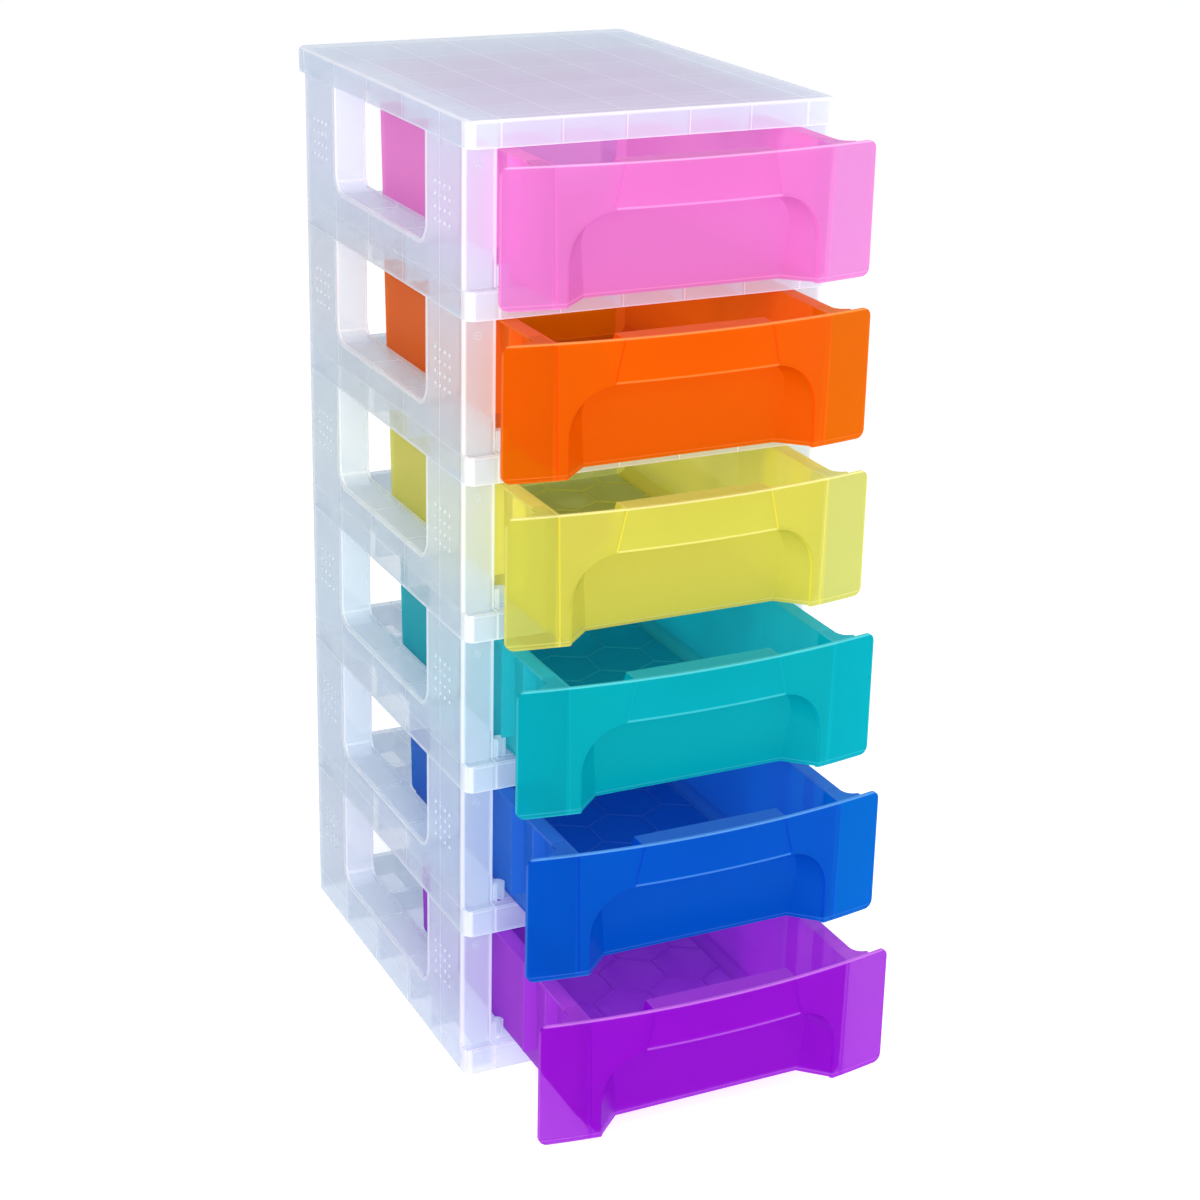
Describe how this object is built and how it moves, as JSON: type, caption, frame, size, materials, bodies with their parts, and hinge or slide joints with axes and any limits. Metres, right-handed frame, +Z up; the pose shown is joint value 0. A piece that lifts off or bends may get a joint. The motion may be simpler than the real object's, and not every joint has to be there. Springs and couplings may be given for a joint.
{
  "type": "drawer tower",
  "caption": "Tall free-standing tower of stacked open-sided frames under a flat lid, with coloured see-through slide-out drawers for flat paper and craft supplies.",
  "frame": {"origin": "middle of the bounding box, on the surface that the tower stands on", "axes": "+Z up, -Y the way the drawers open (the front), +X the right-hand side as seen from the front"},
  "size_m": [0.3, 0.5238, 0.7704],
  "materials": {
    "clear_polypropylene": "milky see-through, smooth",
    "purple_polypropylene": "tinted see-through, smooth",
    "blue_polypropylene": "tinted see-through, smooth",
    "teal_polypropylene": "tinted see-through, smooth",
    "yellow_polypropylene": "tinted see-through, smooth",
    "orange_polypropylene": "tinted see-through, smooth",
    "pink_polypropylene": "tinted see-through, smooth"
  },
  "bodies": {
    "tower": {"lid": "clear_polypropylene", "tier_frame_1": "clear_polypropylene", "tier_frame_2": "clear_polypropylene", "tier_frame_3": "clear_polypropylene", "tier_frame_4": "clear_polypropylene", "tier_frame_5": "clear_polypropylene", "tier_frame_6": "clear_polypropylene"},
    "purple_drawer_body": {"purple_drawer": "purple_polypropylene"},
    "blue_drawer_body": {"blue_drawer": "blue_polypropylene"},
    "teal_drawer_body": {"teal_drawer": "teal_polypropylene"},
    "yellow_drawer_body": {"yellow_drawer": "yellow_polypropylene"},
    "orange_drawer_body": {"orange_drawer": "orange_polypropylene"},
    "pink_drawer_body": {"pink_drawer": "pink_polypropylene"}
  },
  "joints": [
    {"name": "purple_drawer_slide", "type": "slide", "parent": "tower", "child": "purple_drawer_body", "axis": [0, -1, 0], "range_m": [-0.1386, 0.0974]},
    {"name": "blue_drawer_slide", "type": "slide", "parent": "tower", "child": "blue_drawer_body", "axis": [0, -1, 0], "range_m": [-0.1122, 0.1238]},
    {"name": "teal_drawer_slide", "type": "slide", "parent": "tower", "child": "teal_drawer_body", "axis": [0, -1, 0], "range_m": [-0.0917, 0.1443]},
    {"name": "yellow_drawer_slide", "type": "slide", "parent": "tower", "child": "yellow_drawer_body", "axis": [0, -1, 0], "range_m": [-0.0688, 0.1672]},
    {"name": "orange_drawer_slide", "type": "slide", "parent": "tower", "child": "orange_drawer_body", "axis": [0, -1, 0], "range_m": [-0.0598, 0.1762]},
    {"name": "pink_drawer_slide", "type": "slide", "parent": "tower", "child": "pink_drawer_body", "axis": [0, -1, 0], "range_m": [-0.0542, 0.1818]}
  ]
}
